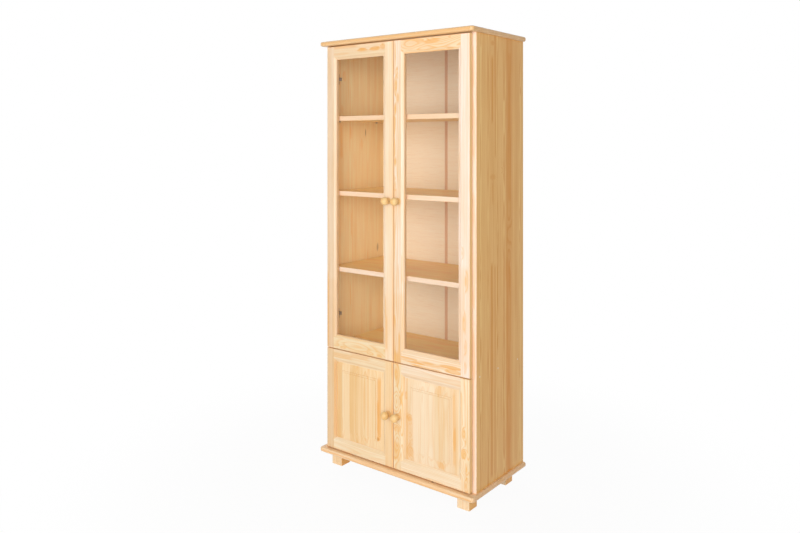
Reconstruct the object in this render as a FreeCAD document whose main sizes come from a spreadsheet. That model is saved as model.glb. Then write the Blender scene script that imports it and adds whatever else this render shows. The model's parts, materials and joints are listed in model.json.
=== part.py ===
import FreeCAD, Part
import os
import re
import Sketcher

# A pine bookcase: two tall glazed doors over two panelled doors, on four block feet.
# The origin is on the floor, in the middle of the whole outline with its knobs.
# The doors face -Y, +X is to the right of someone who stands in front, and +Z is up.
# The bookcase is the same on both sides, so the right half is drawn and the left is its mirror.

DOC = FreeCAD.newDocument("glazed_bookcase")
SHEET = DOC.addObject("Spreadsheet::Sheet", "Sizes")

SIZES = {
    # boards of the carcass
    "board_thickness": 20,
    "carcass_width": 776,
    "carcass_depth": 370,
    "side_height": 1770,
    "top_overhang_side": 12,
    "top_overhang_front": 44,
    "board_corner_radius": 14,
    "board_nose_radius": 8,
    # feet
    "foot_width": 55,
    "foot_height": 55,
    "foot_inset_side": 30,
    "foot_ahead_of_carcass": 4,
    "foot_inset_back": 40,
    # shelves, by the height of their upper faces above the floor
    "fixed_shelf_level": 528,
    "bottom_shelf_level": 873,
    "middle_shelf_level": 1207,
    "top_shelf_level": 1536,
    "shelf_side_play": 1,
    "shelf_setback": 2,
    "shelf_back_play": 1.5,
    "pin_radius": 2.5,
    "pin_in_side": 10,
    "pin_length": 20,
    "pin_from_front": 50,
    "pin_from_back": 60,
    # back
    "back_thickness": 3.5,
    "back_inset": 1.5,
    "back_rebate": 10,
    "back_play": 0.5,
    "strip_width": 14.5,
    "strip_lip": 1.2,
    "strip_web": 1.5,
    "nail_radius": 0.8,
    "nail_head_radius": 1.6,
    "nail_head_height": 0.8,
    "nail_length": 18,
    "nail_from_end": 35,
    "nail_from_middle": 55,
    "nail_pitch_across": 130,
    # fasteners of the carcass
    "dowel_from_front": 60,
    "dowel_pitch": 125,
    "dowel_radius": 4,
    "dowel_in_board": 12,
    "dowel_in_side": 23,
    "front_screw_depth": 24,
    "middle_screw_depth": 162,
    "back_screw_depth": 322,
    "shelf_screw_radius": 2.5,
    "shelf_screw_head_radius": 3.5,
    "shelf_screw_head_height": 4,
    "shelf_screw_length": 48,
    "cap_radius": 4,
    "cap_height": 2,
    "foot_screw_radius": 2.25,
    "foot_screw_head_radius": 4.5,
    "foot_screw_head_height": 2.5,
    "foot_screw_length": 45,
    "foot_screw_offset": 14,
    # doors
    "door_thickness": 22,
    "door_gap": 2,
    "door_reveal": 16,
    "door_spacing": 3,
    "door_gap_above": 4,
    "door_gap_below": 3,
    "upper_door_bottom": 517.5,
    "stile_width": 53,
    "upper_top_rail_width": 58,
    "upper_bottom_rail_width": 61,
    "lower_rail_width": 53,
    "door_front_radius": 4,
    "door_back_radius": 3,
    "moulding_width": 13,
    "moulding_depth": 6,
    "moulding_fillet": 4,
    "moulding_step": 1,
    # glazing
    "glass_seat": 10,
    "glass_rebate": 10,
    "glass_thickness": 4,
    "glass_play": 2,
    "bead_thickness": 7,
    # fielded panels
    "groove_front": 8,
    "groove_width": 6,
    "groove_depth": 9,
    "panel_in_groove": 8,
    "bevel_rise": 3,
    "bevel_width": 34,
    "panel_step_width": 8,
    "panel_step_rise": 1.3,
    # knobs
    "knob_from_edge": 23.5,
    "knob_ball_radius": 17,
    "knob_reach": 42,
    "knob_neck_radius": 6.5,
    "knob_base_radius": 14,
    "knob_base_height": 4,
    "knob_screw_radius": 2,
    "knob_screw_head_radius": 4,
    "knob_screw_head_height": 2,
    "knob_screw_in_knob": 20,
    # concealed hinges
    "hinge_from_upper_end": 137,
    "hinge_from_lower_end": 80,
    "cup_radius": 17.5,
    "cup_wall": 0.8,
    "cup_depth": 12.5,
    "cup_centre_from_edge": 21.5,
    "cup_rim_radius": 18,
    "cup_rim_thickness": 1.2,
    "cup_wing_width": 14,
    "cup_wing_reach": 26,
    "cup_pin_from_edge": 12,
    "cup_pin_depth": 5,
    "hinge_pin_radius": 1.5,
    "hinge_pin_play": 0.08,
    "link_eye_radius": 2.5,
    "link_height": 10,
    "link_thickness": 2.4,
    "arm_pin_from_side": 21.5,
    "arm_pin_ahead": 4.5,
    "arm_height": 14,
    "arm_slot_height": 10.6,
    "arm_slot_back": 2,
    "arm_start": 14,
    "arm_end": 54,
    "arm_stand_off": 13,
    "arm_shoulder": 18,
    "arm_neck_inner": 7,
    "arm_neck_outer": 4,
    "plate_thickness": 2,
    "plate_height": 46,
    "plate_start": 24,
    "plate_end": 50,
}

for row, (alias, size) in enumerate(SIZES.items(), 1):
    SHEET.set(f"A{row}", alias.replace("_", " "))
    SHEET.set(f"B{row}", str(size))
    SHEET.setAlias(f"B{row}", alias)
DOC.recompute()

# Places that several pieces share, as formulas of the sizes.
FRONT = "((door_gap + door_thickness + knob_reach - carcass_depth) / 2)"
BACK = f"({FRONT} + carcass_depth)"
PANEL_BACK = f"({BACK} - back_inset)"
PANEL_FRONT = f"({PANEL_BACK} - back_thickness)"
SHELF_BACK = f"({PANEL_FRONT} - shelf_back_play)"
SIDE_OUTER = "(carcass_width / 2)"
SIDE_INNER = f"({SIDE_OUTER} - board_thickness)"
BASE_TOP = "(foot_height + board_thickness)"
SIDE_TOP = f"({BASE_TOP} + side_height)"
DOOR_BACK = f"({FRONT} - door_gap)"
DOOR_FRONT = f"({DOOR_BACK} - door_thickness)"
DOOR_OUTER = f"({SIDE_OUTER} - door_reveal)"
DOOR_INNER = "(door_spacing / 2)"
KNOB_X = f"({DOOR_INNER} + knob_from_edge)"
CUP_PIN_X = f"({DOOR_OUTER} - cup_pin_from_edge)"
CUP_PIN_Y = f"({DOOR_BACK} - cup_pin_depth)"
ARM_PIN_X = f"({SIDE_INNER} - arm_pin_from_side)"
ARM_PIN_Y = f"({FRONT} - arm_pin_ahead)"

SIZE_NAME = re.compile(r"[a-z][a-z_]+")
DIRECTIONS = {
    "x": FreeCAD.Vector(1, 0, 0),
    "-x": FreeCAD.Vector(-1, 0, 0),
    "y": FreeCAD.Vector(0, 1, 0),
    "-y": FreeCAD.Vector(0, -1, 0),
    "z": FreeCAD.Vector(0, 0, 1),
    "-z": FreeCAD.Vector(0, 0, -1),
}
PARTS = []


def formula(text):
    """The text as an expression that reads each named size from the sheet."""
    def placed(found):
        return "Sizes." + found.group() if found.group() in SIZES else found.group()
    return SIZE_NAME.sub(placed, str(text))


def number(text):
    """The present value of a formula."""
    result = SHEET.evalExpression(formula(text))
    return float(getattr(result, "Value", result))


def bind(item, **formulas):
    for name, text in formulas.items():
        item.setExpression(name, formula(text))
    return item


def move(item, x, y, z):
    for axis, text in zip("xyz", (x, y, z)):
        item.setExpression("Placement.Base." + axis, formula(text))
    return item


def box(label, x, y, z):
    """A block between the start and end given for each axis."""
    item = DOC.addObject("Part::Box", label)
    for size, (start, end) in zip(("Length", "Width", "Height"), (x, y, z)):
        item.setExpression(size, formula(f"({end}) - ({start})"))
    return move(item, x[0], y[0], z[0])


def turned(item, direction, x, y, z):
    """Stands an item that was drawn along Z at a point, pointing along a direction."""
    item.Placement.Rotation = FreeCAD.Rotation(DIRECTIONS["z"], DIRECTIONS[direction])
    return move(item, x, y, z)


def cylinder(label, radius, length, direction, x, y, z):
    item = bind(DOC.addObject("Part::Cylinder", label), Radius=radius, Height=length)
    return turned(item, direction, x, y, z)


def cone(label, start_radius, end_radius, length, direction, x, y, z):
    item = DOC.addObject("Part::Cone", label)
    bind(item, Radius1=start_radius, Radius2=end_radius, Height=length)
    return turned(item, direction, x, y, z)


def group(label, pieces):
    """Several separate solids under one name."""
    item = DOC.addObject("Part::Compound", label)
    item.Links = list(pieces)
    return item


def fuse(label, pieces):
    item = DOC.addObject("Part::MultiFuse", label)
    item.Shapes = list(pieces)
    item.Refine = True
    return item


def cut(label, base, tools):
    item = DOC.addObject("Part::Cut", label)
    item.Base = base
    item.Tool = group(label + "_tools", tools) if len(tools) > 1 else tools[0]
    return item


def mirror(label, source):
    """The left-hand twin of a right-hand item."""
    item = DOC.addObject("Part::Mirroring", label)
    item.Source = source
    item.Normal = DIRECTIONS["x"]
    return item


def both_sides(label, pieces):
    """The right-hand pieces and their left-hand twins, all under one name."""
    right = group(label + "_right", pieces)
    return group(label, [right, mirror(label + "_left", right)])


def part(item):
    """Marks an item as a finished piece of the bookcase."""
    PARTS.append(item)
    return item


def prism(label, plane, corners, start, end):
    """A body padded from start to end, square to an origin plane, with the given outline.

    The corners of the outline on XY_Plane are (x, y) and on YZ_Plane (y, z).
    """
    body = DOC.addObject("PartDesign::Body", label)
    sketch = body.newObject("Sketcher::SketchObject", label + "_outline")
    support = next(feature for feature in body.Origin.OriginFeatures if feature.Role == plane)
    sketch.AttachmentSupport = [(support, "")]
    sketch.MapMode = "FlatFace"
    places = [FreeCAD.Vector(number(across), number(up), 0) for across, up in corners]
    count = len(corners)
    for index, place in enumerate(places):
        sketch.addGeometry(Part.LineSegment(place, places[(index + 1) % count]))
    for index in range(count):
        following = (index + 1) % count
        sketch.addConstraint(Sketcher.Constraint("Coincident", index, 2, following, 1))
    for index, (corner, place) in enumerate(zip(corners, places)):
        for kind, text, value in zip(("DistanceX", "DistanceY"), corner, place):
            name = sketch.addConstraint(Sketcher.Constraint(kind, -1, 1, index, 1, value))
            sketch.setExpression(f"Constraints[{name}]", formula(text))
    pad = body.newObject("PartDesign::Pad", label + "_pad")
    pad.Profile = sketch
    bind(pad, Length=f"({end}) - ({start})")
    axis = "z" if plane == "XY_Plane" else "x"
    body.setExpression("Placement.Base." + axis, formula(start))
    return body


def round_edges(body, radius, wanted):
    """Rounds the edges of a body whose middle point passes a test."""
    DOC.recompute()
    names = []
    for index, edge in enumerate(body.Shape.Edges, 1):
        middle = edge.valueAt((edge.FirstParameter + edge.LastParameter) / 2)
        if wanted(middle, edge):
            names.append(f"Edge{index}")
    base = body.Tip
    fillet = body.newObject("PartDesign::Fillet", f"{body.Label}_fillet_{len(body.Group)}")
    fillet.Base = (base, names)
    bind(fillet, Radius=radius)
    body.Tip = fillet
    return body


def near(value, text):
    return abs(value - number(text)) < 0.01


# ---------------------------------------------------------------- fasteners of the carcass

# Spaces between the nails up each side.
NAIL_SPACES = 8


def dowels():
    """Wooden dowels that hold a side to the base board and to the top board."""
    middle = f"({SIDE_OUTER} - board_thickness / 2)"
    pieces = []
    length = "dowel_in_board + dowel_in_side"
    for index in range(3):
        depth = f"{FRONT} + dowel_from_front + dowel_pitch * {index}"
        pieces.append(cylinder(f"base_dowel_{index}", "dowel_radius", length, "z",
                               middle, depth, f"{BASE_TOP} - dowel_in_board"))
        pieces.append(cylinder(f"top_dowel_{index}", "dowel_radius", length, "z",
                               middle, depth, f"{SIDE_TOP} - dowel_in_side"))
    return pieces


def shelf_screw_places():
    """Depth and height of the screws that hold an end of the fixed shelf."""
    height = "fixed_shelf_level - board_thickness / 2"
    return [(f"{FRONT} + {place}_screw_depth", height) for place in ("front", "middle", "back")]


def shelf_screws():
    pieces = []
    start = f"{SIDE_OUTER} - cap_height"
    for index, (y, z) in enumerate(shelf_screw_places(), 1):
        label = f"shelf_screw_{index}"
        head = cylinder(label + "_head", "shelf_screw_head_radius", "shelf_screw_head_height",
                        "-x", start, y, z)
        shank = cylinder(label + "_shank", "shelf_screw_radius", "shelf_screw_length",
                         "-x", start, y, z)
        pieces.append(fuse(label, [head, shank]))
    return pieces


def screw_caps():
    """Pale caps that hide the heads of the fixed shelf's screws."""
    return [cylinder(f"screw_cap_{index}", "cap_radius", "cap_height", "-x", SIDE_OUTER, y, z)
            for index, (y, z) in enumerate(shelf_screw_places(), 1)]


def shelf_pins():
    """Steel pins, two in each side under every loose shelf."""
    pieces = []
    for shelf in ("bottom", "middle", "top"):
        height = f"{shelf}_shelf_level - board_thickness - pin_radius"
        for end, depth in (("front", f"{FRONT} + pin_from_front"),
                           ("back", f"{BACK} - pin_from_back")):
            pieces.append(cylinder(f"{shelf}_shelf_pin_{end}", "pin_radius", "pin_length", "-x",
                                   f"{SIDE_INNER} + pin_in_side", depth, height))
    return pieces


def back_nails():
    """Nails through the back into the side and into the back edge of the fixed shelf."""
    rebate_middle = f"{SIDE_INNER} + back_rebate / 2"
    rise = f"((side_height - 2 * nail_from_end) / {NAIL_SPACES})"
    places = [(rebate_middle, f"{BASE_TOP} + nail_from_end + {rise} * {index}")
              for index in range(NAIL_SPACES + 1)]
    shelf_middle = "fixed_shelf_level - board_thickness / 2"
    places += [(f"nail_from_middle + nail_pitch_across * {index}", shelf_middle)
               for index in range(3)]
    pieces = []
    for index, (x, z) in enumerate(places, 1):
        label = f"back_nail_{index}"
        shank = cylinder(label + "_shank", "nail_radius", "nail_length", "-y", x, PANEL_BACK, z)
        head = cylinder(label + "_head", "nail_head_radius", "nail_head_height", "-y",
                        x, PANEL_BACK, z)
        pieces.append(fuse(label, [shank, head]))
    return pieces


def foot_spans():
    """The X and Y spans of the right-hand feet, front and back."""
    across = (f"{SIDE_OUTER} - foot_inset_side - foot_width", f"{SIDE_OUTER} - foot_inset_side")
    front = (f"{FRONT} - foot_ahead_of_carcass",
             f"{FRONT} - foot_ahead_of_carcass + foot_width")
    back = (f"{BACK} - foot_inset_back - foot_width", f"{BACK} - foot_inset_back")
    return {"front": (across, front), "back": (across, back)}


def foot_screws():
    """Two countersunk screws down through the base board into each foot."""
    pieces = []
    for place, (x, y) in foot_spans().items():
        for index, sign in enumerate("+-", 1):
            label = f"{place}_foot_screw_{index}"
            middle_x = f"({x[0]}) + foot_width / 2 {sign} foot_screw_offset"
            middle_y = f"({y[0]}) + foot_width / 2 {sign} foot_screw_offset"
            head = cone(label + "_head", "foot_screw_head_radius", "foot_screw_radius",
                        "foot_screw_head_height", "-z", middle_x, middle_y, BASE_TOP)
            shank = cylinder(label + "_shank", "foot_screw_radius", "foot_screw_length", "-z",
                             middle_x, middle_y, BASE_TOP)
            pieces.append(fuse(label, [head, shank]))
    return pieces


CARCASS_DOWELS = dowels()
SHELF_SCREWS = shelf_screws()
SCREW_CAPS = screw_caps()
SHELF_PINS = shelf_pins()
BACK_NAILS = back_nails()
FOOT_SCREWS = foot_screws()

ALL_DOWELS = part(both_sides("carcass_dowels", CARCASS_DOWELS))
ALL_SHELF_SCREWS = part(both_sides("fixed_shelf_screws", SHELF_SCREWS))
part(both_sides("screw_caps", SCREW_CAPS))
part(both_sides("shelf_pins", SHELF_PINS))
ALL_NAILS = part(both_sides("back_nails", BACK_NAILS))
ALL_FOOT_SCREWS = part(both_sides("foot_screws", FOOT_SCREWS))


# ---------------------------------------------------------------- carcass

def overhanging_board(label, bottom, fasteners):
    """Top or base board: it runs past the sides and the doors, with a rounded nose."""
    left = f"-{SIDE_OUTER} - top_overhang_side"
    right = f"{SIDE_OUTER} + top_overhang_side"
    front = f"{FRONT} - top_overhang_front"
    corners = [(left, front), (right, front), (right, BACK), (left, BACK)]
    board = prism(label + "_board", "XY_Plane", corners, bottom, f"{bottom} + board_thickness")
    round_edges(board, "board_corner_radius",
                lambda middle, edge: near(middle.y, front) and near(edge.BoundBox.ZLength,
                                                                    "board_thickness"))
    round_edges(board, "board_nose_radius",
                lambda middle, edge: edge.BoundBox.ZLength < 0.01 and not near(middle.y, BACK))
    return part(cut(label, board, fasteners))


def side_panel():
    """A side: grain upright, rebated along its back edge for the back."""
    panel = box("right_side_panel", (SIDE_INNER, SIDE_OUTER), (FRONT, BACK), (BASE_TOP, SIDE_TOP))
    rebate = box("right_side_rebate", (SIDE_INNER, f"{SIDE_INNER} + back_rebate"),
                 (PANEL_FRONT, BACK), (BASE_TOP, SIDE_TOP))
    fasteners = CARCASS_DOWELS + SHELF_SCREWS + SCREW_CAPS + SHELF_PINS + BACK_NAILS
    right = part(cut("right_side", panel, [rebate] + fasteners))
    part(mirror("left_side", right))


def shelves():
    """One fixed shelf between the doors, and three loose ones that lie on pins."""
    spans = (f"-{SIDE_INNER}", SIDE_INNER), (FRONT, SHELF_BACK)
    level = ("fixed_shelf_level - board_thickness", "fixed_shelf_level")
    blank = box("fixed_shelf_blank", *spans, level)
    part(cut("fixed_shelf", blank, [ALL_SHELF_SCREWS, ALL_NAILS]))
    reach = f"({SIDE_INNER} - shelf_side_play)"
    for name in ("bottom", "middle", "top"):
        part(box(f"{name}_shelf", (f"-{reach}", reach), (f"{FRONT} + shelf_setback", SHELF_BACK),
                 (f"{name}_shelf_level - board_thickness", f"{name}_shelf_level")))


def back():
    """Two thin panels, nailed on, whose meeting edges slide into an H-shaped strip."""
    panel = box("back_panel_blank", ("strip_web / 2", f"{SIDE_INNER} + back_rebate - back_play"),
                (PANEL_FRONT, PANEL_BACK), (BASE_TOP, SIDE_TOP))
    right = part(cut("back_panel_right", panel, BACK_NAILS))
    part(mirror("back_panel_left", right))
    lip = "strip_width / 2"
    web = "strip_web / 2"
    corners = [(f"-{lip}", f"{PANEL_FRONT} - strip_lip"), (lip, f"{PANEL_FRONT} - strip_lip"),
               (lip, PANEL_FRONT), (web, PANEL_FRONT), (web, PANEL_BACK), (lip, PANEL_BACK),
               (lip, f"{PANEL_BACK} + strip_lip"), (f"-{lip}", f"{PANEL_BACK} + strip_lip"),
               (f"-{lip}", PANEL_BACK), (f"-{web}", PANEL_BACK), (f"-{web}", PANEL_FRONT),
               (f"-{lip}", PANEL_FRONT)]
    part(prism("back_joining_strip", "XY_Plane", corners, BASE_TOP, SIDE_TOP))


def feet():
    """Square block feet under the base board."""
    for place, (x, y) in foot_spans().items():
        block = box(f"foot_{place}_right_block", x, y, ("0", "foot_height"))
        right = part(cut(f"foot_{place}_right", block, FOOT_SCREWS))
        part(mirror(f"foot_{place}_left", right))


overhanging_board("base_board", "foot_height", [ALL_DOWELS, ALL_FOOT_SCREWS])
overhanging_board("top_board", SIDE_TOP, [ALL_DOWELS])
side_panel()
shelves()
back()
feet()


# ---------------------------------------------------------------- hinges

# Corners of a link's bow: the pin they are measured from, then how far outward and forward.
LINK_BOW = [("arm", -2.4, 0), ("arm", 0.2, 6.9), ("cup", -1.2, 5.7), ("cup", 2.4, 0),
            ("cup", 0, 0), ("cup", -2.5, 3.2), ("arm", 2.8, 4.6), ("arm", 1.5, 0)]


def hinge_arm(label, height):
    """Arm of a concealed hinge, one piece with its plate on the side; a pin crosses its fork."""
    bottom = f"({height}) - arm_height / 2"
    top = f"({height}) + arm_height / 2"
    foot = f"({SIDE_INNER} - plate_thickness)"
    outer = f"({ARM_PIN_X} + link_eye_radius)"
    inner = f"({ARM_PIN_X} - link_eye_radius)"
    stand_off = f"{SIDE_INNER} - arm_stand_off"
    corners = [(foot, f"{FRONT} + arm_start"), (foot, f"{FRONT} + arm_end"),
               (stand_off, f"{FRONT} + arm_end"), (stand_off, f"{FRONT} + arm_shoulder"),
               (inner, f"{FRONT} + arm_neck_inner"), (inner, ARM_PIN_Y),
               (outer, ARM_PIN_Y), (outer, f"{FRONT} + arm_neck_outer")]
    bar = prism(label + "_bar", "XY_Plane", corners, bottom, top)
    eye = cylinder(label + "_eye", "link_eye_radius", "arm_height", "z",
                   ARM_PIN_X, ARM_PIN_Y, bottom)
    slot = box(label + "_slot", (f"{inner} - link_eye_radius", f"{outer} + link_eye_radius"),
               (f"{ARM_PIN_Y} - 2 * link_eye_radius", f"{FRONT} + arm_slot_back"),
               (f"({height}) - arm_slot_height / 2", f"({height}) + arm_slot_height / 2"))
    fork = cut(label + "_fork", fuse(label + "_solid_fork", [bar, eye]), [slot])
    pin = cylinder(label + "_pin", "hinge_pin_radius", "arm_height", "z",
                   ARM_PIN_X, ARM_PIN_Y, bottom)
    plate = box(label + "_plate", (foot, SIDE_INNER),
                (f"{FRONT} + plate_start", f"{FRONT} + plate_end"),
                (f"({height}) - plate_height / 2", f"({height}) + plate_height / 2"))
    return fuse(label, [fork, pin, plate])


def hinge_link(label, height):
    """Bowed link between the arm's pin and the cup's pin, with an eye at each end."""
    bottom = f"({height}) - link_height / 2"
    pins = {"arm": (ARM_PIN_X, ARM_PIN_Y), "cup": (CUP_PIN_X, CUP_PIN_Y)}
    corners = [(f"{pins[pin][0]} + ({across})", f"{pins[pin][1]} - {deep}")
               for pin, across, deep in LINK_BOW]
    bow = prism(label + "_bow", "XY_Plane", corners, bottom, f"{bottom} + link_height")
    eyes = []
    holes = []
    for end, (x, y) in pins.items():
        eyes.append(cylinder(f"{label}_{end}_eye", "link_eye_radius", "link_height", "z",
                             x, y, bottom))
        holes.append(cylinder(f"{label}_{end}_hole", "hinge_pin_radius + hinge_pin_play",
                              "link_height", "z", x, y, bottom))
    return cut(label, fuse(label + "_blank", [bow] + eyes), holes)


def hinge_cup(label, height):
    """Pressed steel cup let into the back of the door, with screw wings and a cross pin."""
    centre = f"({DOOR_OUTER} - cup_centre_from_edge)"
    wall = cylinder(label + "_wall", "cup_radius", "cup_depth", "-y", centre, DOOR_BACK, height)
    rim = cylinder(label + "_rim", "cup_rim_radius", "cup_rim_thickness", "y",
                   centre, DOOR_BACK, height)
    wings = box(label + "_wings", (f"{centre} - cup_wing_width", centre),
                (DOOR_BACK, f"{DOOR_BACK} + cup_rim_thickness"),
                (f"({height}) - cup_wing_reach", f"({height}) + cup_wing_reach"))
    hollow = cylinder(label + "_hollow", "cup_radius - cup_wall",
                      "cup_depth - cup_wall + cup_rim_thickness", "-y",
                      centre, f"{DOOR_BACK} + cup_rim_thickness", height)
    shell = cut(label + "_shell", fuse(label + "_blank", [wall, rim, wings]), [hollow])
    bar = cylinder(label + "_bar", "hinge_pin_radius", "2 * cup_radius", "z",
                   CUP_PIN_X, CUP_PIN_Y, f"({height}) - cup_radius")
    pin = DOC.addObject("Part::Common", label + "_pin")
    pin.Base = bar
    pin.Tool = wall
    return fuse(label, [shell, pin])


# ---------------------------------------------------------------- doors

MOULDING = [("0", "moulding_depth"), ("moulding_fillet", "moulding_depth"),
            ("moulding_fillet", "moulding_depth - moulding_step"), ("moulding_width", "0")]
GLASS_REBATE = [("glass_rebate", "door_thickness"), ("glass_rebate", "glass_seat"),
                ("0", "glass_seat")]
PANEL_GROOVE = [("0", "door_thickness"), ("0", "groove_front + groove_width"),
                ("groove_depth", "groove_front + groove_width"),
                ("groove_depth", "groove_front"), ("0", "groove_front")]


def member_section(width, seat):
    """Outline of a stile or rail, as distances from its inner edge and from the door's front."""
    return MOULDING + [(width, "0"), (width, "door_thickness")] + seat


def stile(label, inner_edge, outward, seat, bottom, top):
    """Upright member of a door frame, the full height of the door."""
    corners = [(f"{inner_edge} {outward} ({across})", f"{DOOR_FRONT} + {deep}")
               for across, deep in member_section("stile_width", seat)]
    body = prism(label, "XY_Plane", corners, bottom, top)
    outer_edge = f"{inner_edge} {outward} stile_width"
    round_edges(body, "door_front_radius",
                lambda middle, edge: near(middle.y, DOOR_FRONT)
                and not near(middle.x, f"{inner_edge} {outward} moulding_width"))
    round_edges(body, "door_back_radius",
                lambda middle, edge: near(middle.y, DOOR_BACK) and near(middle.x, outer_edge))
    return body


def rail(label, inner_edge, outward, width, seat):
    """Cross member of a door frame, before its ends are scribed over the stiles' moulding."""
    corners = [(f"{DOOR_FRONT} + {deep}", f"{inner_edge} {outward} ({across})")
               for across, deep in member_section(width, seat)]
    reach = "stile_width - moulding_width"
    body = prism(label, "YZ_Plane", corners,
                 f"{DOOR_INNER} + {reach}", f"{DOOR_OUTER} - ({reach})")
    return round_edges(body, "door_front_radius",
                       lambda middle, edge: near(middle.y, DOOR_FRONT)
                       and near(middle.z, f"{inner_edge} {outward} {width}"))


def knob(label, height):
    """Turned ball knob on a short neck with a spreading base."""
    centre = f"{DOOR_FRONT} - knob_reach + knob_ball_radius"
    ball = bind(DOC.addObject("Part::Sphere", label + "_ball"), Radius="knob_ball_radius")
    move(ball, KNOB_X, centre, height)
    neck = cylinder(label + "_neck", "knob_neck_radius", "knob_reach - knob_ball_radius", "-y",
                    KNOB_X, DOOR_FRONT, height)
    foot = cone(label + "_foot", "knob_base_radius", "knob_neck_radius", "knob_base_height", "-y",
                KNOB_X, DOOR_FRONT, height)
    return fuse(label + "_turning", [ball, neck, foot])


def knob_screw(label, height):
    """Screw through the stile from inside, with its head on the back of the door."""
    length = "door_thickness + knob_screw_in_knob"
    shank = cylinder(label + "_shank", "knob_screw_radius", length, "-y",
                     KNOB_X, DOOR_BACK, height)
    head = cylinder(label + "_head", "knob_screw_head_radius", "knob_screw_head_height", "y",
                    KNOB_X, DOOR_BACK, height)
    return fuse(label, [shank, head])


def glazing(door, left, right, low, high):
    """Glass pane in the rebate, held from inside by four beads."""
    play = "(glass_rebate - glass_play)"
    pane_back = f"{DOOR_FRONT} + glass_seat + glass_thickness"
    part_x = (f"{left} - {play}", f"{right} + {play}")
    part_z = (f"{low} - {play}", f"{high} + {play}")
    pane = box(f"{door}_glass", part_x, (f"{DOOR_FRONT} + glass_seat", pane_back), part_z)
    depth = (pane_back, f"{pane_back} + bead_thickness")
    full_x = (f"{left} - glass_rebate", f"{right} + glass_rebate")
    full_z = (f"{low} - glass_rebate", f"{high} + glass_rebate")
    beads = [
        box(f"{door}_bead_left", (full_x[0], left), depth, full_z),
        box(f"{door}_bead_right", (right, full_x[1]), depth, full_z),
        box(f"{door}_bead_bottom", (left, right), depth, (full_z[0], low)),
        box(f"{door}_bead_top", (left, right), depth, (high, full_z[1])),
    ]
    return [pane, group(f"{door}_glazing_beads", beads)]


def fielded_panel(door, left, right, low, high):
    """Solid panel: a tongue in the frame's grooves, a wide bevel and two steps to the field."""
    tongue_front = f"({DOOR_FRONT} + groove_front)"
    bevel_front = f"({tongue_front} - bevel_rise)"
    step_front = f"({bevel_front} - panel_step_rise)"
    field_front = f"({step_front} - panel_step_rise)"
    tongue = box(f"{door}_panel_tongue", (f"{left} - panel_in_groove", f"{right} + panel_in_groove"),
                 (tongue_front, f"{tongue_front} + groove_width"),
                 (f"{low} - panel_in_groove", f"{high} + panel_in_groove"))
    bevel = DOC.addObject("Part::Wedge", f"{door}_panel_bevel")
    bind(bevel, Xmin=left, X2min=left, Xmax=right, X2max=right, Zmin=low, Z2min=low,
         Zmax=high, Z2max=high, Ymin=bevel_front, Ymax=tongue_front)
    bind(bevel, Xmin=f"{left} + bevel_width", Xmax=f"{right} - bevel_width",
         Zmin=f"{low} + bevel_width", Zmax=f"{high} - bevel_width")
    inset = "bevel_width + panel_step_width"
    step = box(f"{door}_panel_step", (f"{left} + bevel_width", f"{right} - bevel_width"),
               (step_front, tongue_front), (f"{low} + bevel_width", f"{high} - bevel_width"))
    field = box(f"{door}_panel_field", (f"{left} + {inset}", f"{right} - ({inset})"),
                (field_front, tongue_front), (f"{low} + {inset}", f"{high} - ({inset})"))
    return [fuse(f"{door}_panel", [tongue, bevel, step, field])]


def door(name, bottom, top, top_rail_width, bottom_rail_width, seat, filling, hinge_inset):
    """One right-hand door with its hinges, and its left-hand twin."""
    label = f"{name}_right"
    heights = (f"{bottom} + {hinge_inset}", f"{top} - {hinge_inset}")
    middle = f"({bottom} + {top}) / 2"
    left = f"({DOOR_INNER} + stile_width)"
    right = f"({DOOR_OUTER} - stile_width)"
    low = f"({bottom} + {bottom_rail_width})"
    high = f"({top} - {top_rail_width})"

    screw = knob_screw(f"{label}_knob_screw", middle)
    cups = [hinge_cup(f"{label}_cup_{index}", height) for index, height in enumerate(heights, 1)]
    bores = [cylinder(f"{label}_cup_bore_{index}", "cup_radius", "cup_depth", "-y",
                      f"{DOOR_OUTER} - cup_centre_from_edge", DOOR_BACK, height)
             for index, height in enumerate(heights, 1)]
    hinge_blank = stile(f"{label}_hinge_stile_blank", right, "+", seat, bottom, top)
    meeting_blank = stile(f"{label}_meeting_stile_blank", left, "-", seat, bottom, top)
    upper_blank = rail(f"{label}_top_rail_blank", high, "+", top_rail_width, seat)
    lower_blank = rail(f"{label}_bottom_rail_blank", low, "-", bottom_rail_width, seat)
    stiles = [hinge_blank, meeting_blank]
    pieces = [
        cut(f"{label}_hinge_stile", hinge_blank, bores),
        cut(f"{label}_meeting_stile", meeting_blank, [screw]),
        cut(f"{label}_top_rail", upper_blank, stiles),
        cut(f"{label}_bottom_rail", lower_blank, stiles),
        cut(f"{label}_knob", knob(f"{label}_knob", middle), [screw]),
        screw,
        group(f"{label}_hinge_cups", cups),
        group(f"{label}_hinge_links", [hinge_link(f"{label}_link_{index}", height)
                                       for index, height in enumerate(heights, 1)]),
    ] + filling(label, left, right, low, high)
    for piece in pieces:
        part(piece)
        part(mirror(piece.Label.replace("_right", "_left", 1), piece))
    return [hinge_arm(f"{name}_arm_{index}", height) for index, height in enumerate(heights, 1)]


UPPER_BOTTOM = "upper_door_bottom"
UPPER_TOP = f"({SIDE_TOP} - door_gap_above)"
LOWER_BOTTOM = f"({BASE_TOP} + door_gap_below)"
LOWER_TOP = "(upper_door_bottom - door_spacing)"

ARMS = door("upper", UPPER_BOTTOM, UPPER_TOP, "upper_top_rail_width", "upper_bottom_rail_width",
            GLASS_REBATE, glazing, "hinge_from_upper_end")
ARMS += door("lower", LOWER_BOTTOM, LOWER_TOP, "lower_rail_width", "lower_rail_width",
             PANEL_GROOVE, fielded_panel, "hinge_from_lower_end")
part(both_sides("hinge_arms", ARMS))


# ---------------------------------------------------------------- check and write

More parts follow.
